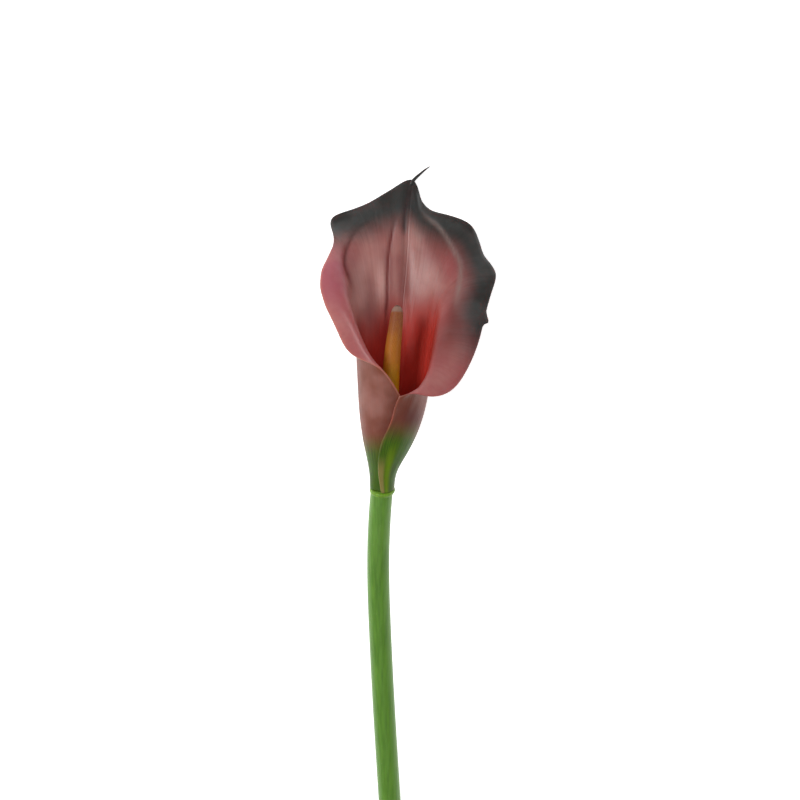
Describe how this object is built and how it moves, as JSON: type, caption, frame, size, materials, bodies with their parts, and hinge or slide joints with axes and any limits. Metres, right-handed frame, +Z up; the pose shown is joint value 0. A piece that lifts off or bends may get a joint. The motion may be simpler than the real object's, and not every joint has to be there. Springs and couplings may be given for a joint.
{
  "type": "calla lily flower",
  "caption": "Cut calla lily lying on its back: one rolled, flared spathe with a thread-like tip round a slim club-shaped spadix, on a smooth round bare stem",
  "frame": {"origin": "the middle of the flower's footprint, on the surface that it lies on", "axes": "+Y from the stem's cut end towards the spathe's tip, +X to the right as the open throat faces the viewer, +Z up out of that surface"},
  "size_m": [0.076, 0.3934, 0.0453],
  "materials": {
    "spathe_skin": "satin",
    "spadix_florets": "matte",
    "stem_skin": "satin"
  },
  "bodies": {
    "root": {"spathe": "spathe_skin", "spadix": "spadix_florets", "stem": "stem_skin"}
  },
  "joints": []
}
